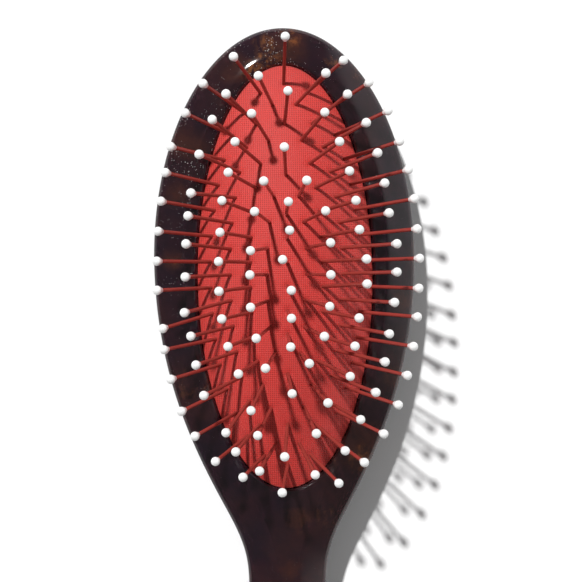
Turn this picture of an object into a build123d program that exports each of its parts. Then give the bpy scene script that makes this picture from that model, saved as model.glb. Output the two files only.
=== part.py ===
from build123d import *
import bisect
import math
import os
import random

# Oval pneumatic cushion brush, pins up, in millimetres.
# The origin is on the flat back, under the middle of the cushion.
# +Z runs up along the pins, +Y towards the head's tip, and the handle is towards -Y.

# Body outline, seen from the pin side
HEAD_HALF_WIDTH = 32.8
HEAD_WIDEST_Y = 4.9
HEAD_TIP_Y = 62.6
NECK_HALF_WIDTH = 9.9
NECK_Y = -84.0
HANDLE_HALF_WIDTH = 12.6
HANDLE_WIDEST_Y = -147.0
HANDLE_END_Y = -162.4
SHOULDER = [(27.0, -32.0), (16.5, -56.0), (10.4, -70.0)]

# Body thickness
BODY_HEIGHT = 17.0
TOP_ROUND = 3.0
BACK_ROUND = 7.0
NECK_RISE = 1.3
NECK_RISE_START_Y = -44.0
NECK_RISE_END_Y = -142.0

# Pocket for the cushion
MOUTH_HALF_WIDTH = 22.0
MOUTH_HALF_LENGTH = 53.0
MOUTH_ROUND = 0.8
GROOVE_DEPTH = 3.3
LIP_THICKNESS = 3.5
GROOVE_HEIGHT = 5.0
POCKET_FLOOR = 5.0

# Cushion
CUSHION_CLEARANCE = 0.1
EDGE_Z = 16.2
DOME_RISE = 12.0
CLOTH_THICKNESS = 0.4
RUBBER_THICKNESS = 1.4
BEAD_HEIGHT = 2.0
BEAD_WIDTH = 5.0

# Pins
PIN_RADIUS = 0.55
PIN_REACH = 19.45
PIN_CLEARANCE = 0.04
PIN_HEAD_RADIUS = 1.3
PIN_HEAD_THICKNESS = 0.6
PIN_HEAD_DEPTH = 2.1
TIP_RADIUS = 1.15
TIP_NECK_END_RADIUS = 0.68
TIP_NECK_ROOT_RADIUS = 1.03
TIP_NECK_ROOT = 0.5
TIP_NECK_END = 1.75
TIP_BORE_DEPTH = 0.3
TIP_CLEARANCE = 0.02
TIP_END_FLARE = 0.63
LEAN_SPREAD = 0.008
LEAN_SEED = 11
RING_STEPS = 720

# Rings of pins, from the outside in: pins, half width, half length, first pin's place in pitches
PIN_RINGS = [
    ("ring_1", 34, 18.8, 47.6, 0.0),
    ("ring_2", 30, 14.0, 43.3, 0.5),
    ("ring_3", 26, 9.1, 37.4, 0.0),
    ("ring_4", 16, 5.0, 24.7, 0.0),
]
CENTRE_PINS = 6
CENTRE_PITCH = 5.94
FIELD_SHIFT_Y = 0.8

# Pins that stand out of line: ring and place clockwise from the head's tip, then lean across and along
STRAY_PINS = {
    ("ring_1", 0): (0.0, 0.1),
    ("ring_1", 1): (0.05, -0.05),
    ("ring_1", 16): (0.05, 0.05),
    ("ring_1", 17): (-0.1, 0.1),
    ("ring_1", 18): (-0.05, 0.15),
    ("ring_1", 19): (0.0, 0.05),
    ("ring_1", 21): (0.0, -0.05),
    ("ring_1", 24): (0.05, -0.1),
    ("ring_1", 30): (-0.05, -0.05),
    ("ring_2", 0): (0.15, -0.05),
    ("ring_2", 6): (0.1, 0.0),
    ("ring_2", 7): (0.1, 0.0),
    ("ring_2", 8): (0.05, 0.0),
    ("ring_2", 12): (-0.05, 0.05),
    ("ring_2", 15): (-0.1, 0.05),
    ("ring_2", 17): (0.1, -0.1),
    ("ring_2", 21): (-0.05, -0.1),
    ("ring_2", 25): (0.0, -0.1),
    ("ring_2", 27): (0.05, 0.05),
    ("ring_2", 29): (0.0, -0.1),
    ("ring_3", 6): (0.1, 0.0),
    ("ring_3", 7): (0.1, 0.05),
    ("ring_3", 11): (-0.15, 0.05),
    ("ring_3", 12): (-0.1, 0.0),
    ("ring_3", 13): (-0.1, -0.05),
    ("ring_3", 15): (0.1, -0.05),
    ("ring_3", 16): (0.1, 0.05),
    ("ring_3", 17): (0.05, 0.0),
    ("ring_4", 0): (-0.05, 0.1),
    ("ring_4", 1): (-0.1, 0.0),
    ("ring_4", 7): (-0.1, 0.05),
    ("ring_4", 13): (0.0, -0.1),
    ("centre_row", 2): (-0.1, 0.0),
}

DOME_HALF_WIDTH = MOUTH_HALF_WIDTH - CUSHION_CLEARANCE
DOME_HALF_LENGTH = MOUTH_HALF_LENGTH - CUSHION_CLEARANCE
GROOVE_TOP = BODY_HEIGHT - LIP_THICKNESS
GROOVE_BOTTOM = GROOVE_TOP - GROOVE_HEIGHT
BEAD_BOTTOM = GROOVE_TOP - BEAD_HEIGHT
BEAD_HALF_WIDTH = MOUTH_HALF_WIDTH + GROOVE_DEPTH - CUSHION_CLEARANCE
BEAD_HALF_LENGTH = MOUTH_HALF_LENGTH + GROOVE_DEPTH - CUSHION_CLEARANCE
INNER_INSET = CLOTH_THICKNESS + RUBBER_THICKNESS

os.makedirs("parts", exist_ok=True)


def save(name, part):
    """Label one finished piece and write it to its own file."""
    part.label = name
    export_step(part, f"parts/{name}.step")


def solid_dome(inset):
    """A solid elliptic paraboloid on the cushion's edge plane, inset from the cushion's outer skin."""
    half_width = DOME_HALF_WIDTH - inset
    half_length = DOME_HALF_LENGTH - inset
    crown_z = EDGE_Z + DOME_RISE - inset
    with BuildPart() as dome:
        with BuildSketch(Plane.XZ):
            with BuildLine():
                Bezier((0, crown_z), (half_width / 2, crown_z), (half_width, EDGE_Z))
                Polyline((half_width, EDGE_Z), (0, EDGE_Z), (0, crown_z))
            make_face()
        revolve(axis=Axis.Z)
        scale(by=(1, half_length / half_width, 1))
    return dome.part


def uneven_lean(ring_name, index, spread):
    """How far one pin leans off the cushion's normal, across and along the brush."""
    across, along = STRAY_PINS.get((ring_name, index), (0.0, 0.0))
    return Vector(across + spread.gauss(0, LEAN_SPREAD), along + spread.gauss(0, LEAN_SPREAD), 0)


def pin_seat(x, y, lean):
    """The plane where a pin leaves the cushion, with its Z axis along the pin."""
    fall_x = x / DOME_HALF_WIDTH
    fall_y = y / DOME_HALF_LENGTH
    height = EDGE_Z + DOME_RISE * (1 - fall_x**2 - fall_y**2)
    # The rubber bends more sharply towards the head's tip, which spreads the pins there
    flare = TIP_END_FLARE * max(0, fall_y) ** 2
    slope_x = 2 * DOME_RISE * fall_x / DOME_HALF_WIDTH * (1 + flare)
    slope_y = 2 * DOME_RISE * fall_y / DOME_HALF_LENGTH * (1 + flare / 2)
    normal = Vector(slope_x, slope_y, 1).normalized()
    return Plane(origin=(x, y, height), z_dir=normal + lean)


def ring_places(pins, half_width, half_length, first):
    """Places spaced evenly by length round an oval, clockwise from the head's tip."""

    def on_oval(step):
        turn = math.tau * step / RING_STEPS
        return Vector(half_width * math.sin(turn), half_length * math.cos(turn))

    lengths = [0.0]
    for step in range(RING_STEPS):
        lengths.append(lengths[-1] + (on_oval(step + 1) - on_oval(step)).length)
    places = []
    for index in range(pins):
        along = lengths[-1] * (index + first) / pins
        step = bisect.bisect(lengths, along) - 1
        share = (along - lengths[step]) / (lengths[step + 1] - lengths[step])
        places.append(on_oval(step + share))
    return places


def ring_seats(ring_name, pins, half_width, half_length, first, spread):
    """The seats round one ring of pins."""
    seats = []
    for index, place in enumerate(ring_places(pins, half_width, half_length, first)):
        lean = uneven_lean(ring_name, index, spread)
        seats.append(pin_seat(place.X, place.Y + FIELD_SHIFT_Y, lean))
    return seats


def pin_shafts(seats):
    """Round pins with flat heads under the rubber."""
    with BuildPart() as shafts:
        with Locations(*[seat.offset(-PIN_HEAD_DEPTH) for seat in seats]):
            Cylinder(
                PIN_RADIUS,
                PIN_HEAD_DEPTH + PIN_REACH + TIP_BORE_DEPTH,
                align=(Align.CENTER, Align.CENTER, Align.MIN),
            )
            Cylinder(
                PIN_HEAD_RADIUS,
                PIN_HEAD_THICKNESS,
                align=(Align.CENTER, Align.CENTER, Align.MAX),
            )
    return shafts.part


def pin_tips(seats):
    """Ball tips with a tapered neck, each with a blind bore for its pin."""
    with BuildPart() as tips:
        with Locations(*[seat.offset(PIN_REACH) for seat in seats]):
            Sphere(TIP_RADIUS)
        with Locations(*[seat.offset(PIN_REACH - TIP_NECK_END) for seat in seats]):
            Cone(
                TIP_NECK_END_RADIUS,
                TIP_NECK_ROOT_RADIUS,
                TIP_NECK_END - TIP_NECK_ROOT,
                align=(Align.CENTER, Align.CENTER, Align.MIN),
            )
        with Locations(*[seat.offset(PIN_REACH + TIP_BORE_DEPTH) for seat in seats]):
            Cylinder(
                PIN_RADIUS + TIP_CLEARANCE,
                TIP_BORE_DEPTH + TIP_NECK_END,
                align=(Align.CENTER, Align.CENTER, Align.MAX),
                mode=Mode.SUBTRACT,
            )
    return tips.part


# Pin seats, ring by ring
lean_spread = random.Random(LEAN_SEED)
pin_groups = {}
all_seats = []
for ring_name, pins, half_width, half_length, first in PIN_RINGS:
    seats = ring_seats(ring_name, pins, half_width, half_length, first, lean_spread)
    half = pins // 2
    pin_groups[f"{ring_name}_right"] = seats[:half]
    pin_groups[f"{ring_name}_left"] = seats[half:]
    all_seats += seats
centre_seats = []
for index in range(CENTRE_PINS):
    y = FIELD_SHIFT_Y + CENTRE_PITCH * ((CENTRE_PINS - 1) / 2 - index)
    centre_seats.append(pin_seat(0, y, uneven_lean("centre_row", index, lean_spread)))
pin_groups["centre_row"] = centre_seats
all_seats += centre_seats

# One-piece body: head, neck and handle
with BuildPart() as handle_body:
    with BuildSketch():
        with BuildLine():
            head_arc = EllipticalCenterArc(
                (0, HEAD_WIDEST_Y), HEAD_HALF_WIDTH, HEAD_TIP_Y - HEAD_WIDEST_Y, 0, arc_size=180
            )
            flank = Spline(
                head_arc @ 0,
                *SHOULDER,
                (NECK_HALF_WIDTH, NECK_Y),
                (HANDLE_HALF_WIDTH, HANDLE_WIDEST_Y),
                tangents=[(0, -1), (0, -1)],
            )
            mirror(flank, about=Plane.YZ)
            EllipticalCenterArc(
                (0, HANDLE_WIDEST_Y),
                HANDLE_HALF_WIDTH,
                HANDLE_WIDEST_Y - HANDLE_END_Y,
                0,
                arc_size=-180,
            )
        make_face()
    extrude(amount=BODY_HEIGHT)
    # The back rises a little under the neck, so that the head and the handle's end touch down
    with BuildSketch(Plane.YZ):
        with BuildLine():
            rise = Spline(
                (NECK_RISE_START_Y, 0),
                ((NECK_RISE_START_Y + NECK_RISE_END_Y) / 2, NECK_RISE),
                (NECK_RISE_END_Y, 0),
                tangents=[(-1, 0), (-1, 0)],
            )
            Line(rise @ 1, rise @ 0)
        make_face()
    extrude(amount=HEAD_HALF_WIDTH, both=True, mode=Mode.SUBTRACT)
    fillet(handle_body.faces().sort_by(Axis.Z)[-1].edges(), TOP_ROUND)
    fillet(handle_body.edges().group_by(Axis.Z)[0], BACK_ROUND)

    # Pocket: open mouth, undercut groove for the cushion's bead, and the air chamber's floor
    with BuildSketch(Plane.XY.offset(POCKET_FLOOR)):
        Ellipse(MOUTH_HALF_WIDTH, MOUTH_HALF_LENGTH)
    extrude(amount=BODY_HEIGHT - POCKET_FLOOR, mode=Mode.SUBTRACT)
    with BuildSketch(Plane.XY.offset(GROOVE_BOTTOM)):
        Ellipse(MOUTH_HALF_WIDTH + GROOVE_DEPTH, MOUTH_HALF_LENGTH + GROOVE_DEPTH)
    extrude(amount=GROOVE_HEIGHT, mode=Mode.SUBTRACT)
    fillet(handle_body.faces().filter_by(Axis.Z).sort_by(Axis.Z)[-1].inner_wires()[0].edges(), MOUTH_ROUND)

save("handle_body", handle_body.part)

# Oval ring pressed into the groove, which wedges the cushion's bead up against the lip
with BuildPart() as clamp_ring:
    with BuildSketch(Plane.XY.offset(GROOVE_BOTTOM)):
        Ellipse(BEAD_HALF_WIDTH, BEAD_HALF_LENGTH)
        Ellipse(BEAD_HALF_WIDTH - BEAD_WIDTH, BEAD_HALF_LENGTH - BEAD_WIDTH, mode=Mode.SUBTRACT)
    extrude(amount=BEAD_BOTTOM - GROOVE_BOTTOM)

save("clamp_ring", clamp_ring.part)

# Rubber membrane: dome, collar in the mouth, bead in the groove, and a hole for each pin
with BuildPart() as rubber_cushion:
    add(solid_dome(CLOTH_THICKNESS))
    with BuildSketch(Plane.XY.offset(BEAD_BOTTOM)):
        Ellipse(DOME_HALF_WIDTH, DOME_HALF_LENGTH)
    extrude(amount=EDGE_Z - BEAD_BOTTOM)
    with BuildSketch(Plane.XY.offset(BEAD_BOTTOM)):
        Ellipse(BEAD_HALF_WIDTH, BEAD_HALF_LENGTH)
    extrude(amount=BEAD_HEIGHT)
    with BuildSketch(Plane.XY.offset(BEAD_BOTTOM)):
        Ellipse(DOME_HALF_WIDTH - INNER_INSET, DOME_HALF_LENGTH - INNER_INSET)
    extrude(amount=EDGE_Z - BEAD_BOTTOM, mode=Mode.SUBTRACT)
    add(solid_dome(INNER_INSET), mode=Mode.SUBTRACT)
    with Locations(*all_seats):
        Cylinder(PIN_RADIUS + PIN_CLEARANCE, 2 * PIN_HEAD_DEPTH, mode=Mode.SUBTRACT)

save("rubber_cushion", rubber_cushion.part)

# Woven facing over the dome
with BuildPart() as cushion_cloth:
    add(solid_dome(0))
    add(solid_dome(CLOTH_THICKNESS), mode=Mode.SUBTRACT)
    with Locations(*all_seats):
        Cylinder(PIN_RADIUS + PIN_CLEARANCE, 2 * PIN_HEAD_DEPTH, mode=Mode.SUBTRACT)

save("cushion_cloth", cushion_cloth.part)

# Pins and ball tips, half a ring at a time
for group_name, seats in pin_groups.items():
    save(f"{group_name}_pins", pin_shafts(seats))
    save(f"{group_name}_tips", pin_tips(seats))
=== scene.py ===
import math
import random

import bmesh
import bpy
import numpy as np
from mathutils import Matrix, Vector
from mathutils.geometry import tessellate_polygon


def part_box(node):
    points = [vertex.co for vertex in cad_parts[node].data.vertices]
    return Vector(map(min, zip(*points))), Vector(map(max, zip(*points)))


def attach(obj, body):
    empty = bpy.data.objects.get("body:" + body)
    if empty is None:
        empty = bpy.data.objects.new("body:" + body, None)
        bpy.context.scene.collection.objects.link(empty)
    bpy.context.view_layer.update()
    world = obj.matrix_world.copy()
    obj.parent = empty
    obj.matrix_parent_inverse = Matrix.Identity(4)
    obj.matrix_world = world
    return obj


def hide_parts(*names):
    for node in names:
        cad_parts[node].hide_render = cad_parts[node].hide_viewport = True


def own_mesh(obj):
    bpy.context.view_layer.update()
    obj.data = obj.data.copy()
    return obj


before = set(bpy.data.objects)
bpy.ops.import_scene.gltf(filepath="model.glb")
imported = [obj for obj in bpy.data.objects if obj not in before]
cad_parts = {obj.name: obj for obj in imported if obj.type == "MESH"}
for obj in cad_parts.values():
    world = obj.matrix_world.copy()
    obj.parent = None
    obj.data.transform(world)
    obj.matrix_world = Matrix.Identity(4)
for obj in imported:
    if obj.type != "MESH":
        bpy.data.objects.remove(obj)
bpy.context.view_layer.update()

MM = 0.001

# Body outline, as in the CAD part
HEAD_WIDEST_Y = 4.9 * MM
NECK_HALF_WIDTH = 9.9 * MM
NECK_Y = -84.0 * MM
HANDLE_HALF_WIDTH = 12.6 * MM
HANDLE_WIDEST_Y = -147.0 * MM
SHOULDER = [(27.0 * MM, -32.0 * MM), (16.5 * MM, -56.0 * MM), (10.4 * MM, -70.0 * MM)]
OUTLINE_SAMPLES = (2000, 800, 1500)

# The rim slopes down to the outline. The powers shape the slope's two ends: 1 is a crease, 2 is round
RIM_WIDTH = 7.4 * MM
RIM_DROP = 4.3 * MM
RIM_START_POWER = 1.25
RIM_END_POWER = 1.4

# Back and pocket
BACK_ROUND = 7.0 * MM
NECK_RISE = 1.3 * MM
NECK_RISE_Y = -93.0 * MM
NECK_RISE_REACH = 49.0 * MM
MOUTH_ROUND = 1.3 * MM
POCKET_FLOOR = 5.0 * MM
CUSHION_CLEARANCE = 0.1 * MM
BEAD_HEIGHT = 2.0 * MM

# Cushion
CLOTH_THICKNESS = 0.4 * MM
RUBBER_THICKNESS = 1.4 * MM
PUCKER_DEPTH = 0.3 * MM
PUCKER_RADIUS = 0.95 * MM
SHEET_GAP = 0.01 * MM
THREAD_PITCH = 0.52 * MM

# Pins and ball tips
PIN_RADIUS = 0.46 * MM
PIN_REACH = 19.45 * MM
PIN_TOP_REACH = 0.3 * MM
PIN_HEAD_RADIUS = 1.3 * MM
PIN_HEAD_THICKNESS = 0.6 * MM
PIN_HEAD_DEPTH = 2.1 * MM
PIN_HEAD_EDGE = 0.12 * MM
TIP_RADIUS = 1.15 * MM
TIP_NECK_RADIUS = 0.60 * MM
TIP_NECK_END = 1.50 * MM
TIP_NECK_LIP = 0.02 * MM
TIP_BLEND = 0.42 * MM
TIP_JOIN = math.radians(26)
TIP_CROWN = 0.02
TIP_SIZE_SPREAD = 0.035
TIP_SIZE_SEED = 5

# Tortoiseshell clouds, as x, y and radius
WARP = 9.0 * MM
AMBER_PATCHES = [
    (-4.5 * MM, 56.0 * MM, 5.0 * MM),
    (1.5 * MM, 60.0 * MM, 3.0 * MM),
    (-7.5 * MM, 52.5 * MM, 4.0 * MM),
    (12.5 * MM, 54.0 * MM, 2.5 * MM),
    (-29.5 * MM, 4.5 * MM, 1.8 * MM),
    (19.5 * MM, -46.5 * MM, 3.6 * MM),
]
BROWN_PATCHES = [
    (1.0 * MM, 57.0 * MM, 8.0 * MM),
    (-12.0 * MM, 52.0 * MM, 6.0 * MM),
    (-24.0 * MM, 33.0 * MM, 7.0 * MM),
    (-27.0 * MM, 21.0 * MM, 5.0 * MM),
    (-29.5 * MM, 4.5 * MM, 4.0 * MM),
    (3.0 * MM, -60.0 * MM, 4.5 * MM),
    (0.5 * MM, -73.0 * MM, 5.0 * MM),
    (19.5 * MM, -43.5 * MM, 11.0 * MM),
    (26.5 * MM, -25.0 * MM, 5.0 * MM),
    (29.0 * MM, -6.0 * MM, 5.0 * MM),
    (2.0 * MM, -130.0 * MM, 12.0 * MM),
]

# Mesh steps
OUTLINE_STEP = 0.8 * MM
ROUND_STEPS = 20
SUPPORT = 0.12 * MM
MOUTH_STEPS = 360
PIN_SIDES = 20
PIN_STEPS = 6
TIP_SIDES = 28
TIP_NECK_STEPS = 6
TIP_BALL_STEPS = 16
COVER_STEPS = (150, 420)
MEMBRANE_STEPS = (60, 200)
SMOOTH_LIMIT = math.radians(40)

# Colours, where a pair is the two ends that noise drifts between
PLUM = ((0.0115, 0.0052, 0.0100), (0.0155, 0.0052, 0.0095))
BROWN = (0.056, 0.0165, 0.0095)
AMBER = (0.215, 0.072, 0.020)
DUST = (0.60, 0.57, 0.56)
CLOTH_THREAD = ((0.645, 0.041, 0.032), (0.60, 0.044, 0.035))
CLOTH_HOLE = (0.36, 0.017, 0.015)
LATEX = ((0.32, 0.020, 0.018), (0.44, 0.035, 0.030))
PIN_RED = ((0.24, 0.032, 0.025), (0.34, 0.048, 0.038))
TIP_WHITE = ((0.86, 0.865, 0.855), (0.91, 0.91, 0.90))
RING_GREY = ((0.10, 0.10, 0.105), (0.16, 0.16, 0.165))
PAPER_WHITE = ((0.945, 0.945, 0.945), (0.965, 0.965, 0.965))

# Camera and light
CAMERA_DISTANCE = 0.7
CAMERA_SHIFT = (1.445 * MM, -3.490 * MM)
CAMERA_TURN = (-0.0164, -0.0436, -0.0107)
CAMERA_VIEW_WIDTH = 0.14585
SENSOR = 36.0
CAMERA_CLIP = (0.01, 50)
KEY_DIRECTION = (-0.35, 0.66, 1.0)
KEY_STRENGTH = 3.65
KEY_ANGLE = math.radians(2.9)
AMBIENT = 0.185
SIDE_GLOW = 0.66
GLOW_ACROSS = (0.50, 0.68)
GLOW_ALONG = (0.0, 0.40)
GLOW_TURN = 0.45
FLOOR_HALF = 4.0
FLOOR_GAP = 0.05 * MM

body_low, body_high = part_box("handle_body")
cloth_low, cloth_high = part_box("cushion_cloth")
rubber_low, rubber_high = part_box("rubber_cushion")
ring_low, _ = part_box("clamp_ring")

EDGE_Z = cloth_low.z
DOME_HALF_WIDTH = cloth_high.x
DOME_HALF_LENGTH = cloth_high.y
DOME_RISE = cloth_high.z - cloth_low.z
MOUTH_HALF_WIDTH = DOME_HALF_WIDTH + CUSHION_CLEARANCE
MOUTH_HALF_LENGTH = DOME_HALF_LENGTH + CUSHION_CLEARANCE
GROOVE_DEPTH = rubber_high.x + CUSHION_CLEARANCE - MOUTH_HALF_WIDTH
GROOVE_BOTTOM = ring_low.z
BEAD_BOTTOM = rubber_low.z
GROOVE_TOP = BEAD_BOTTOM + BEAD_HEIGHT


# ---------------------------------------------------------------- mesh tools

def mesh_piece(name, points, faces, material, body):
    """A smooth-shaded object from points and faces, riding on a body of the frame."""
    mesh = bpy.data.meshes.new(name)
    mesh.from_pydata([tuple(point) for point in points], [], faces)
    mesh.validate()
    edit = bmesh.new()
    edit.from_mesh(mesh)
    bmesh.ops.recalc_face_normals(edit, faces=edit.faces)
    edit.to_mesh(mesh)
    edit.free()
    mesh.shade_smooth()
    mesh.set_sharp_from_angle(angle=SMOOTH_LIMIT)
    mesh.materials.append(material)
    piece = bpy.data.objects.new(name, mesh)
    bpy.context.scene.collection.objects.link(piece)
    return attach(piece, body)


def strip_faces(first, second, count):
    """Quads between two closed rings of the same count, given the index where each starts."""
    faces = []
    for index in range(count):
        after = (index + 1) % count
        faces.append((first + index, first + after, second + after, second + index))
    return faces


def quarter(steps):
    """Sine and cosine pairs round a quarter turn, ends included."""
    turns = [math.pi / 2 * step / steps for step in range(steps + 1)]
    return [(math.sin(turn), math.cos(turn)) for turn in turns]


def smooth_step(share):
    """A share from 0 to 1, eased at both ends."""
    share = np.clip(share, 0, 1)
    return share * share * (3 - 2 * share)


# ---------------------------------------------------------------- materials

class Nodes:
    """A node tree, built a node at a time."""

    def __init__(self, tree):
        self.tree = tree

    def give(self, node, socket, value):
        """Link or set one input."""
        target = node.inputs[socket]
        if isinstance(value, bpy.types.NodeSocket):
            self.tree.links.new(value, target)
        elif isinstance(value, tuple) and len(value) == 3 and target.type == "RGBA":
            target.default_value = (*value, 1)
        else:
            target.default_value = value

    def node(self, kind, output, settings, inputs):
        """A new node, as one of its outputs."""
        made = self.tree.nodes.new(kind)
        for name, value in settings.items():
            setattr(made, name, value)
        for socket, value in inputs.items():
            self.give(made, socket, value)
        return made.outputs[output]

    def math(self, operation, *inputs):
        """A number worked out from others."""
        return self.node("ShaderNodeMath", "Value", {"operation": operation}, dict(enumerate(inputs)))

    def vector(self, operation, *inputs, output="Vector"):
        """A vector, or with output="Value" a number, worked out from vectors."""
        return self.node("ShaderNodeVectorMath", output, {"operation": operation}, dict(enumerate(inputs)))

    def ranged(self, value, low, high, to_low=0.0, to_high=1.0):
        """Value mapped smoothly from low..high to to_low..to_high."""
        inputs = {"Value": value, "From Min": low, "From Max": high, "To Min": to_low, "To Max": to_high}
        return self.node("ShaderNodeMapRange", "Result", {"interpolation_type": "SMOOTHSTEP"}, inputs)

    def axes(self, place):
        """The x and y of a vector."""
        parts = self.tree.nodes.new("ShaderNodeSeparateXYZ")
        self.tree.links.new(place, parts.inputs["Vector"])
        return parts.outputs["X"], parts.outputs["Y"]


class Look(Nodes):
    """A procedural material. The scales of its noise and cells are counts per metre."""

    def __init__(self, name, ior):
        self.material = bpy.data.materials.new(name)
        self.material.use_nodes = True
        super().__init__(self.material.node_tree)
        self.surface = self.tree.nodes["Principled BSDF"]
        self.place = self.tree.nodes.new("ShaderNodeTexCoord").outputs["Object"]
        self.set("IOR", ior)

    def set(self, socket, value):
        """Link or set one input of the surface."""
        self.give(self.surface, socket, value)

    def stretched(self, x=1.0, y=1.0, z=1.0, shift=(0, 0, 0), turn=0.0):
        """The place, turned about z, scaled and shifted."""
        inputs = {"Vector": self.place, "Scale": (x, y, z), "Location": shift, "Rotation": (0, 0, turn)}
        return self.node("ShaderNodeMapping", "Vector", {}, inputs)

    def noise(self, scale, detail=3, roughness=0.5, distortion=0.0, place=None, output="Fac"):
        """Smooth random values about 0.5."""
        inputs = {
            "Vector": place or self.place,
            "Scale": scale,
            "Detail": detail,
            "Roughness": roughness,
            "Distortion": distortion,
        }
        return self.node("ShaderNodeTexNoise", output, {}, inputs)

    def cells(self, scale, place=None):
        """Distance to the nearest of many scattered points, in cells."""
        inputs = {"Vector": place or self.place, "Scale": scale}
        return self.node("ShaderNodeTexVoronoi", "Distance", {"feature": "F1"}, inputs)

    def mix(self, share, first, second):
        """The first colour where share is 0 and the second where it is 1."""
        return self.node("ShaderNodeMix", 2, {"data_type": "RGBA"}, {0: share, 6: first, 7: second})

    def bump(self, height, depth, strength=1.0, under=None):
        """A surface normal bent by a height of up to depth, in metres."""
        inputs = {"Height": height, "Distance": depth, "Strength": strength}
        if under:
            inputs["Normal"] = under
        return self.node("ShaderNodeBump", "Normal", {}, inputs)


def patch_share(look, place, patches):
    """How much of a point is inside soft round patches, each given as x, y and radius."""
    flat = look.vector("MULTIPLY", place, (1, 1, 0))
    share = 0.0
    for x, y, radius in patches:
        away = look.vector("DISTANCE", flat, (x, y, 0), output="Value")
        share = look.math("MAXIMUM", look.ranged(away, 0.15 * radius, radius, 1.0, 0.0), share)
    return share


def shell_colour(look):
    """Near-black plum with amber and brown clouds, large ones in set places and small ones all over."""
    drift = look.noise(110, detail=4, roughness=0.6, output="Color")
    centred = look.vector("SUBTRACT", drift, (0.5, 0.5, 0.5))
    bent = look.vector("MULTIPLY_ADD", centred, (WARP, WARP, WARP), look.place)

    fine = look.noise(520, detail=6, roughness=0.7, place=bent)
    drawn_out = look.stretched(y=0.4, turn=0.5)
    streaks = look.noise(420, detail=4, roughness=0.6, distortion=0.6, place=drawn_out)
    grain = look.math("MULTIPLY", look.ranged(fine, 0.39, 0.65), look.ranged(streaks, 0.38, 0.62))
    scattered = look.ranged(look.noise(60, detail=4, place=bent), 0.60, 0.76)
    amber_place = patch_share(look, bent, AMBER_PATCHES)
    amber_share = look.math("MAXIMUM", amber_place, look.math("MULTIPLY", scattered, 0.3))
    amber_share = look.math("MULTIPLY", amber_share, grain)

    mottle = look.ranged(look.noise(48, detail=4, place=bent), 0.42, 0.68)
    brown_place = look.math("MULTIPLY", patch_share(look, bent, BROWN_PATCHES), 0.7)
    brown_share = look.math("MAXIMUM", brown_place, look.math("MULTIPLY", mottle, 0.3))
    brown_share = look.math("MULTIPLY", brown_share, look.ranged(fine, 0.2, 0.7, 0.5, 1.0))

    plum = look.mix(look.ranged(look.noise(150, detail=2), 0.35, 0.65), *PLUM)
    return look.mix(amber_share, look.mix(brown_share, plum, BROWN), AMBER)


def dust_share(look):
    """Specks of dust and short scratches, thickest by the mouth and towards the head's tip, on the left."""
    x, y = look.axes(look.place)
    along = look.ranged(y, -0.055, 0.045, 0.2, 1.0)
    across = look.ranged(x, -0.004, 0.020, 1.0, 0.3)
    oval_place = look.stretched(x=1 / MOUTH_HALF_WIDTH, y=1 / MOUTH_HALF_LENGTH, z=0)
    by_mouth = look.ranged(look.vector("LENGTH", oval_place, output="Value"), 1.02, 1.09, 0.9, 0.0)
    drifts = look.math("MAXIMUM", look.ranged(look.noise(130, detail=3), 0.32, 0.64), by_mouth)
    drifts = look.math("MULTIPLY", drifts, look.math("MULTIPLY", along, across))

    speck_size = look.ranged(look.noise(2300, detail=1), 0.40, 0.64, 0.0, 0.26)
    speck_size = look.math("MULTIPLY", drifts, speck_size)
    specks = look.math("LESS_THAN", look.cells(1950), speck_size)
    large = look.math("LESS_THAN", look.cells(1000), look.math("MULTIPLY", speck_size, 0.5))

    scratches = 0.0
    for turn in (0.5, 1.2, 2.1, 2.8):
        gate = look.ranged(look.noise(420, detail=1, place=look.stretched(shift=(turn, 0, 0))), 0.52, 0.60)
        width = look.math("MULTIPLY", look.math("MULTIPLY", drifts, gate), 0.09)
        cells = look.cells(1300, place=look.stretched(y=0.12, turn=turn))
        scratches = look.math("MAXIMUM", look.math("LESS_THAN", cells, width), scratches)
    return look.math("MAXIMUM", look.math("MAXIMUM", specks, large), look.math("MULTIPLY", scratches, 0.5))


def acetate_look():
    """Dark tortoiseshell acetate, polished, dusty and a little scratched."""
    look = Look("tortoiseshell_acetate", ior=1.5)
    dust = dust_share(look)
    look.set("Base Color", look.mix(look.math("MULTIPLY", dust, 0.65), shell_colour(look), DUST))
    polish = look.ranged(look.noise(260), 0.3, 0.75, 0.050, 0.072)
    look.set("Roughness", look.math("MAXIMUM", polish, look.math("MULTIPLY", dust, 0.6)))
    ripple = look.bump(look.noise(120, detail=1), 0.00003)
    look.set("Normal", look.bump(dust, 0.00002, 0.5, under=ripple))

    # Light sinks in and spreads, so thin shadows are blurred away
    look.set("Subsurface Weight", 1.0)
    look.set("Subsurface Radius", (1.0, 0.8, 0.8))
    look.set("Subsurface Scale", 0.022)
    return look.material


def cloth_look():
    """Fine plain weave, red, with a small dark hole between the threads."""
    look = Look("cushion_weave", ior=1.45)
    x, y = look.axes(look.place)
    warp = look.math("SINE", look.math("MULTIPLY", x, math.tau / THREAD_PITCH))
    weft = look.math("SINE", look.math("MULTIPLY", y, math.tau / THREAD_PITCH))
    ridge = look.math("ADD", warp, look.math("MULTIPLY", weft, 0.8))
    thread = look.mix(look.ranged(look.noise(60), 0.3, 0.7), *CLOTH_THREAD)
    look.set("Base Color", look.mix(look.ranged(ridge, -1.7, 0.3), CLOTH_HOLE, thread))
    look.set("Roughness", 0.62)
    look.set("Normal", look.bump(ridge, 0.00003, 0.8))
    look.set("Subsurface Weight", 0.5)
    look.set("Subsurface Radius", (1.0, 0.4, 0.3))
    look.set("Subsurface Scale", 0.0008)
    look.set("Sheen Weight", 0.12)
    look.set("Sheen Roughness", 0.5)
    return look.material


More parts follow.
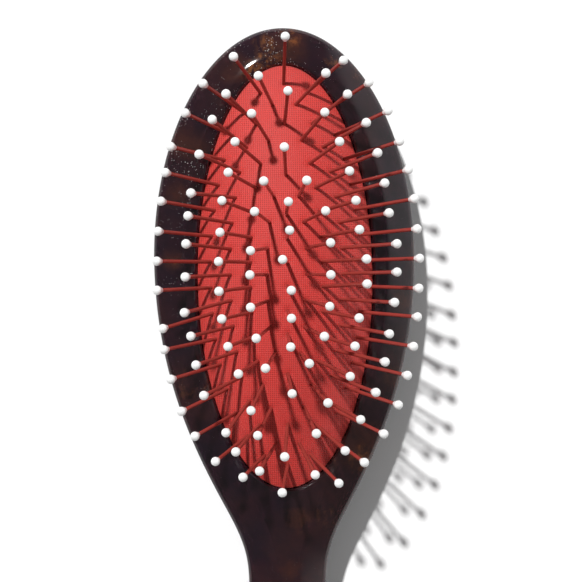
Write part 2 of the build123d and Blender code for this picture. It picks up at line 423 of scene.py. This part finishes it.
def rubber_look():
    """Dull red latex under the weave."""
    look = Look("cushion_rubber", ior=1.5)
    look.set("Base Color", look.mix(look.noise(220, detail=4), *LATEX))
    look.set("Roughness", 0.6)
    look.set("Normal", look.bump(look.noise(1800, detail=2), 0.00003))
    return look.material


def pin_look():
    """Red-brown moulded nylon with a shine."""
    look = Look("pin_nylon", ior=1.53)
    look.set("Base Color", look.mix(look.noise(350, place=look.stretched(z=0.2)), *PIN_RED))
    look.set("Roughness", look.ranged(look.noise(2500), 0.3, 0.7, 0.12, 0.20))
    return look.material


def tip_look():
    """White epoxy balls, satin to glossy."""
    look = Look("tip_nylon", ior=1.5)
    look.set("Base Color", look.mix(look.ranged(look.noise(1500), 0.35, 0.7), *TIP_WHITE))
    look.set("Roughness", look.ranged(look.noise(2600), 0.3, 0.7, 0.20, 0.36))
    look.set("Normal", look.bump(look.noise(1400, detail=2), 0.00002))
    return look.material


def ring_look():
    """Grey moulded plastic of the hidden clamp ring."""
    look = Look("ring_plastic", ior=1.5)
    flow = look.noise(300, detail=4)
    look.set("Base Color", look.mix(flow, *RING_GREY))
    look.set("Roughness", look.ranged(flow, 0.3, 0.7, 0.38, 0.55))
    look.set("Normal", look.bump(look.noise(2000, detail=2), 0.00002))
    return look.material


def paper_look():
    """Plain white paper floor."""
    look = Look("white_paper", ior=1.45)
    look.set("Base Color", look.mix(look.noise(500), *PAPER_WHITE))
    look.set("Roughness", 0.8)
    return look.material


# ---------------------------------------------------------------- body

def clamped_spline(points, start_slope, end_slope, steps):
    """A cubic curve through the points, timed by chord, with unit end tangents as given."""
    points = np.array(points, float)
    chords = np.linalg.norm(np.diff(points, axis=0), axis=1)
    count = len(points)
    matrix = np.zeros((count, count))
    right = np.zeros((count, 2))
    matrix[0, 0] = 1
    matrix[-1, -1] = 1
    right[0] = start_slope
    right[-1] = end_slope
    for inner in range(1, count - 1):
        before, after = chords[inner - 1], chords[inner]
        matrix[inner, inner - 1] = after
        matrix[inner, inner] = 2 * (before + after)
        matrix[inner, inner + 1] = before
        rise_before = (points[inner] - points[inner - 1]) / before
        rise_after = (points[inner + 1] - points[inner]) / after
        right[inner] = 3 * (after * rise_before + before * rise_after)
    slopes = np.linalg.solve(matrix, right)
    share = np.linspace(0, 1, steps, endpoint=False)[:, None]
    curve = []
    for span, chord in enumerate(chords):
        start, end = points[span], points[span + 1]
        part = (
            (2 * share**3 - 3 * share**2 + 1) * start
            + (share**3 - 2 * share**2 + share) * chord * slopes[span]
            + (3 * share**2 - 2 * share**3) * end
            + (share**3 - share**2) * chord * slopes[span + 1]
        )
        curve.append(part)
    curve.append(points[-1:])
    return np.vstack(curve)


def body_half_outline():
    """The right-hand outline from the head's tip to the handle's end, evenly spaced, and its normals."""
    head_steps, span_steps, end_steps = OUTLINE_SAMPLES
    turns = np.linspace(math.pi / 2, 0, head_steps, endpoint=False)[:, None]
    head_length = body_high.y - HEAD_WIDEST_Y
    head = np.hstack([body_high.x * np.cos(turns), HEAD_WIDEST_Y + head_length * np.sin(turns)])
    stops = [(body_high.x, HEAD_WIDEST_Y), *SHOULDER, (NECK_HALF_WIDTH, NECK_Y)]
    stops.append((HANDLE_HALF_WIDTH, HANDLE_WIDEST_Y))
    flank = clamped_spline(stops, (0, -1), (0, -1), span_steps)[:-1]
    turns = np.linspace(0, math.pi / 2, end_steps)[:, None]
    end_length = HANDLE_WIDEST_Y - body_low.y
    end = np.hstack([HANDLE_HALF_WIDTH * np.cos(turns), HANDLE_WIDEST_Y - end_length * np.sin(turns)])
    curve = np.vstack([head, flank, end])
    curve[0, 0] = 0
    curve[-1, 0] = 0
    length = np.concatenate([[0], np.cumsum(np.linalg.norm(np.diff(curve, axis=0), axis=1))])
    count = round(length[-1] / OUTLINE_STEP)
    even = np.linspace(0, length[-1], count + 1)
    places = np.stack([np.interp(even, length, curve[:, axis]) for axis in range(2)], axis=1)
    tangents = np.gradient(curve, length, axis=0)
    tangents[0] = (1, 0)
    tangents[-1] = (-1, 0)
    slopes = np.stack([np.interp(even, length, tangents[:, axis]) for axis in range(2)], axis=1)
    slopes /= np.linalg.norm(slopes, axis=1)[:, None]
    normals = np.stack([-slopes[:, 1], slopes[:, 0]], axis=1)
    return places, normals


def back_rise(y):
    """How far the underside is off the floor at y: the neck arches a little."""
    return NECK_RISE * smooth_step(1 - np.abs(y - NECK_RISE_Y) / NECK_RISE_REACH)


def build_body(material):
    """Head, neck and handle in one closed skin, with the cushion's pocket."""
    places, normals = body_half_outline()
    half_count = len(places)
    mirror = np.array([-1, 1])
    outline = np.vstack([places, places[-2:0:-1] * mirror])
    outward = np.vstack([normals, normals[-2:0:-1] * mirror])
    ring_count = len(outline)
    points = []
    faces = []

    def outline_ring(inset, height, above_back=False):
        start = len(points)
        ring = outline - inset * outward
        lift = back_rise(ring[:, 1]) if above_back else np.zeros(ring_count)
        points.extend((x, y, height + up) for (x, y), up in zip(ring, lift))
        return start

    def oval_ring(grow, height):
        start = len(points)
        for index in range(MOUTH_STEPS):
            turn = math.tau * index / MOUTH_STEPS
            x = (MOUTH_HALF_WIDTH + grow) * math.sin(turn)
            y = (MOUTH_HALF_LENGTH + grow) * math.cos(turn)
            points.append((x, y, height))
        return start

    # Outer skin, from the flat top down to the back
    outer = [outline_ring(RIM_WIDTH + SUPPORT, body_high.z)]
    for sine, cosine in quarter(ROUND_STEPS):
        inset = RIM_WIDTH * (1 - sine ** (2 / RIM_START_POWER))
        drop = RIM_DROP * (1 - max(cosine, 0) ** (2 / RIM_END_POWER))
        outer.append(outline_ring(inset, body_high.z - drop))
    for cosine, sine in quarter(ROUND_STEPS):
        outer.append(outline_ring(BACK_ROUND * (1 - sine), BACK_ROUND * (1 - cosine), above_back=True))
    for upper, lower in zip(outer, outer[1:]):
        faces += strip_faces(upper, lower, ring_count)

    # Underside: rungs straight across from right to left
    last = outer[-1]
    for index in range(half_count - 1):
        right, right_after = last + index, last + index + 1
        left, left_after = last + (ring_count - index) % ring_count, last + ring_count - index - 1
        rung = [right, right_after, left_after, left]
        faces.append(tuple(dict.fromkeys(rung)))

    # Pocket, from the mouth's rounded edge down
    pocket = [oval_ring(MOUTH_ROUND + SUPPORT, body_high.z)]
    for sine, cosine in quarter(ROUND_STEPS // 2):
        grow = MOUTH_ROUND * (1 - sine)
        pocket.append(oval_ring(grow, body_high.z - MOUTH_ROUND * (1 - cosine)))
    for grow, height in (
        (0, GROOVE_TOP),
        (GROOVE_DEPTH, GROOVE_TOP),
        (GROOVE_DEPTH, GROOVE_BOTTOM),
        (0, GROOVE_BOTTOM),
        (0, POCKET_FLOOR),
    ):
        pocket.append(oval_ring(grow, height))
    for upper, lower in zip(pocket, pocket[1:]):
        faces += strip_faces(upper, lower, MOUTH_STEPS)
    faces.append(tuple(range(pocket[-1], pocket[-1] + MOUTH_STEPS)))

    # Flat top between the two
    outer_loop = list(range(outer[0], outer[0] + ring_count))
    inner_loop = list(range(pocket[0], pocket[0] + MOUTH_STEPS))
    loops = [[Vector(points[index]) for index in loop] for loop in (outer_loop, inner_loop)]
    both = outer_loop + inner_loop
    faces += [tuple(both[corner] for corner in triangle) for triangle in tessellate_polygon(loops)]

    piece = mesh_piece("tortoiseshell_body", points, faces, material, "frame")
    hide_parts("handle_body")
    return piece


# ---------------------------------------------------------------- pins

def node_solids(node):
    """The vertices of each separate solid in a CAD node."""
    edit = bmesh.new()
    edit.from_mesh(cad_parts[node].data)
    bmesh.ops.remove_doubles(edit, verts=edit.verts, dist=1e-6)
    left = set(edit.verts)
    solids = []
    while left:
        waiting = [left.pop()]
        found = []
        while waiting:
            vertex = waiting.pop()
            found.append(vertex.co.copy())
            for edge in vertex.link_edges:
                other = edge.other_vert(vertex)
                if other in left:
                    left.remove(other)
                    waiting.append(other)
        solids.append(np.array(found))
    edit.free()
    return solids


def pin_line(solid):
    """Where one pin leaves the cloth, and its direction."""
    middle = solid.mean(axis=0)
    direction = np.linalg.svd(solid - middle, full_matrices=False)[2][0]
    direction *= np.sign(direction[2])
    along = (solid - middle) @ direction
    top = solid[along > along.max() - 1e-5].mean(axis=0)
    bottom = solid[along < along.min() + 1e-5].mean(axis=0)
    direction = (top - bottom) / np.linalg.norm(top - bottom)
    return bottom + (PIN_HEAD_THICKNESS + PIN_HEAD_DEPTH) * direction, direction


def turned(profile, seat, direction, sides, points, faces):
    """Add a closed turned shape: radius and distance along the line, from bottom to top."""
    matrix = Vector(direction).to_track_quat("Z", "Y").to_matrix()
    start = len(points)
    for radius, along in profile:
        for side in range(sides):
            turn = math.tau * side / sides
            offset = matrix @ Vector((radius * math.cos(turn), radius * math.sin(turn), along))
            points.append(Vector(seat) + offset)
    rings = len(profile)
    for ring in range(rings - 1):
        faces.extend(strip_faces(start + ring * sides, start + (ring + 1) * sides, sides))
    faces.append(tuple(reversed(range(start, start + sides))))
    faces.append(tuple(range(start + (rings - 1) * sides, start + rings * sides)))


def pin_profile():
    """Flat head under the rubber, then a plain round shaft up into the ball."""
    head_bottom = -PIN_HEAD_DEPTH - PIN_HEAD_THICKNESS
    profile = [
        (PIN_HEAD_RADIUS - PIN_HEAD_EDGE, head_bottom),
        (PIN_HEAD_RADIUS, head_bottom + PIN_HEAD_EDGE),
        (PIN_HEAD_RADIUS, -PIN_HEAD_DEPTH - PIN_HEAD_EDGE),
        (PIN_HEAD_RADIUS - PIN_HEAD_EDGE, -PIN_HEAD_DEPTH),
        (PIN_RADIUS + PIN_HEAD_EDGE, -PIN_HEAD_DEPTH),
        (PIN_RADIUS, -PIN_HEAD_DEPTH + PIN_HEAD_EDGE),
    ]
    shaft = np.linspace(-PIN_HEAD_DEPTH / 2, PIN_REACH + PIN_TOP_REACH, PIN_STEPS + 1)
    return profile + [(PIN_RADIUS, along) for along in shaft]


def tip_profile():
    """A ball that draws in to a short neck round the pin."""
    start = np.array([TIP_NECK_RADIUS, -TIP_NECK_END])
    end = TIP_RADIUS * np.array([math.cos(TIP_JOIN), -math.sin(TIP_JOIN)])
    middle = end - TIP_BLEND * np.array([math.tan(TIP_JOIN), 1])
    profile = [(PIN_RADIUS + TIP_NECK_LIP, -TIP_NECK_END)]
    for share in np.linspace(0, 1, TIP_NECK_STEPS, endpoint=False):
        place = (1 - share) ** 2 * start + 2 * share * (1 - share) * middle + share**2 * end
        profile.append(tuple(place))
    for turn in np.linspace(-TIP_JOIN, math.pi / 2, TIP_BALL_STEPS, endpoint=False):
        profile.append((TIP_RADIUS * math.cos(turn), TIP_RADIUS * math.sin(turn)))
    profile.append((TIP_RADIUS * TIP_CROWN, TIP_RADIUS * math.cos(TIP_CROWN)))
    return profile


def build_pins(pin_material, tip_material):
    """Every pin and ball tip, one piece for each node that they replace. Returns where the pins stand."""
    seats = []
    spread = random.Random(TIP_SIZE_SEED)
    shaft = pin_profile()
    ball = tip_profile()
    groups = [name.removesuffix("_pins") for name in sorted(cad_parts) if name.endswith("_pins")]
    for group in groups:
        ring = group.removesuffix("_right").removesuffix("_left")
        body = "centre_pins" if ring == "centre_row" else f"{ring}_pins"
        shaft_points, shaft_faces, ball_points, ball_faces = [], [], [], []
        for solid in node_solids(f"{group}_pins"):
            seat, direction = pin_line(solid)
            seats.append(seat)
            turned(shaft, seat, direction, PIN_SIDES, shaft_points, shaft_faces)
            size = 1 - TIP_SIZE_SPREAD * spread.random()
            round_ball = [(radius * size, along * size) for radius, along in ball]
            centre = seat + direction * PIN_REACH
            turned(round_ball, centre, direction, TIP_SIDES, ball_points, ball_faces)
        shafts = mesh_piece(f"{group}_shafts", shaft_points, shaft_faces, pin_material, body)
        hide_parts(f"{group}_pins")
        balls = mesh_piece(f"{group}_balls", ball_points, ball_faces, tip_material, body)
        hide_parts(f"{group}_tips")
    return np.array(seats)


# ---------------------------------------------------------------- cushion

def dome_grid(inset, seats, ring_steps, turn_steps):
    """Points of the dome, inset from its outer skin, from the crown out, with a pucker at each pin."""
    half_width = DOME_HALF_WIDTH - inset
    half_length = DOME_HALF_LENGTH - inset
    points = [(0.0, 0.0, EDGE_Z + DOME_RISE - inset)]
    for ring in range(1, ring_steps + 1):
        share = ring / ring_steps
        for index in range(turn_steps):
            turn = math.tau * index / turn_steps
            x = half_width * share * math.sin(turn)
            y = half_length * share * math.cos(turn)
            points.append((x, y, EDGE_Z + (DOME_RISE - inset) * (1 - share**2)))
    points = np.array(points)
    for seat in seats:
        near = ((points[:, :2] - seat[:2]) ** 2).sum(axis=1)
        points[:, 2] -= PUCKER_DEPTH * np.exp(-near / PUCKER_RADIUS**2)
    points[:, 2] = np.maximum(points[:, 2], EDGE_Z)
    return points


def grid_faces(start, ring_steps, turn_steps):
    """Faces of a dome grid: a fan at the crown, then quads."""
    faces = []
    for index in range(turn_steps):
        faces.append((start, start + 1 + index, start + 1 + (index + 1) % turn_steps))
    for ring in range(ring_steps - 1):
        first = start + 1 + ring * turn_steps
        faces += strip_faces(first, first + turn_steps, turn_steps)
    return faces


def dome_shell(name, outer_inset, inner_inset, seats, steps, material, node):
    """A closed thin shell over the dome."""
    ring_steps, turn_steps = steps
    outer = dome_grid(outer_inset, seats, ring_steps, turn_steps)
    inner = dome_grid(inner_inset, seats, ring_steps, turn_steps)
    points = np.vstack([outer, inner])
    faces = grid_faces(0, ring_steps, turn_steps)
    faces += [tuple(reversed(face)) for face in grid_faces(len(outer), ring_steps, turn_steps)]
    faces += strip_faces(len(outer) - turn_steps, 2 * len(outer) - turn_steps, turn_steps)
    piece = mesh_piece(name, points, faces, material, "frame")
    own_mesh(piece)
    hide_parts(node)
    return piece


def build_collar(material):
    """The cushion's collar in the mouth and its bead in the groove, which don't flatten."""
    inset = CLOTH_THICKNESS + RUBBER_THICKNESS
    bead_grow = rubber_high.x - DOME_HALF_WIDTH
    profile = [
        (-inset, EDGE_Z),
        (0, EDGE_Z),
        (0, GROOVE_TOP),
        (bead_grow, GROOVE_TOP),
        (bead_grow, BEAD_BOTTOM),
        (-inset, BEAD_BOTTOM),
    ]
    points = []
    for grow, height in profile:
        for index in range(MOUTH_STEPS):
            turn = math.tau * index / MOUTH_STEPS
            x = (DOME_HALF_WIDTH + grow) * math.sin(turn)
            y = (DOME_HALF_LENGTH + grow) * math.cos(turn)
            points.append((x, y, height))
    faces = []
    for ring in range(len(profile)):
        after = (ring + 1) % len(profile)
        faces += strip_faces(ring * MOUTH_STEPS, after * MOUTH_STEPS, MOUTH_STEPS)
    piece = mesh_piece("cushion_collar", points, faces, material, "frame")
    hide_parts("rubber_cushion")
    return piece


def build_cushion(seats, cloth, rubber):
    """The woven cover over the rubber membrane, and the membrane's collar."""
    cover = dome_shell("cushion_cover", 0, CLOTH_THICKNESS, seats, COVER_STEPS, cloth,
                       "cushion_cloth")
    dome = dome_shell("cushion_membrane", CLOTH_THICKNESS + SHEET_GAP, CLOTH_THICKNESS + RUBBER_THICKNESS,
                      seats, MEMBRANE_STEPS, rubber, "rubber_cushion")
    build_collar(rubber)


# ---------------------------------------------------------------- stage

def build_stage(material):
    """A paper floor just under the brush."""
    corners = [(-1, -1), (1, -1), (1, 1), (-1, 1)]
    mesh = bpy.data.meshes.new("paper_floor")
    mesh.from_pydata([(x * FLOOR_HALF, y * FLOOR_HALF, 0) for x, y in corners], [], [(0, 1, 2, 3)])
    mesh.materials.append(material)
    floor = bpy.data.objects.new("paper_floor", mesh)
    floor.location.z = -FLOOR_GAP
    bpy.context.scene.collection.objects.link(floor)


def build_key():
    """One strong, nearly hard light from the upper left."""
    key = bpy.data.lights.new("key", "SUN")
    key.energy = KEY_STRENGTH
    key.angle = KEY_ANGLE
    key_object = bpy.data.objects.new("key", key)
    key_object.rotation_euler = Vector(KEY_DIRECTION).to_track_quat("Z", "Y").to_euler()
    bpy.context.scene.collection.objects.link(key_object)


def build_studio():
    """A dim room that is bright low down on its right-hand side."""
    world = bpy.data.worlds.new("studio")
    world.use_nodes = True
    nodes = Nodes(world.node_tree)
    x, y = nodes.axes(nodes.node("ShaderNodeTexCoord", "Generated", {}, {}))
    across = nodes.ranged(x, *GLOW_ACROSS)
    along = nodes.ranged(nodes.math("MULTIPLY_ADD", x, GLOW_TURN, y), *GLOW_ALONG)
    glow = nodes.math("MULTIPLY", across, along)
    background = world.node_tree.nodes["Background"]
    nodes.give(background, "Color", (1, 1, 1))
    nodes.give(background, "Strength", nodes.math("MULTIPLY_ADD", glow, SIDE_GLOW, AMBIENT))
    bpy.context.scene.world = world


def build_camera():
    """Nearly straight above the cushion, tilted a little."""
    camera = bpy.data.cameras.new("camera")
    camera.sensor_width = SENSOR
    camera.lens = SENSOR * CAMERA_DISTANCE / CAMERA_VIEW_WIDTH
    camera.clip_start, camera.clip_end = CAMERA_CLIP
    camera_object = bpy.data.objects.new("camera", camera)
    turn_x, turn_y, turn_z = CAMERA_TURN
    camera_object.matrix_world = (
        Matrix.Translation((0, 0, EDGE_Z))
        @ Matrix.Rotation(turn_x, 4, "X")
        @ Matrix.Rotation(turn_y, 4, "Y")
        @ Matrix.Rotation(turn_z, 4, "Z")
        @ Matrix.Translation((*CAMERA_SHIFT, CAMERA_DISTANCE))
    )
    bpy.context.scene.collection.objects.link(camera_object)
    bpy.context.scene.camera = camera_object


bpy.context.scene.view_settings.view_transform = "Standard"

build_body(acetate_look())
pin_seats = build_pins(pin_look(), tip_look())
build_cushion(pin_seats, cloth_look(), rubber_look())
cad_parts["clamp_ring"].data.materials.clear()
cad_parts["clamp_ring"].data.materials.append(ring_look())
build_stage(paper_look())
build_key()
build_studio()
build_camera()
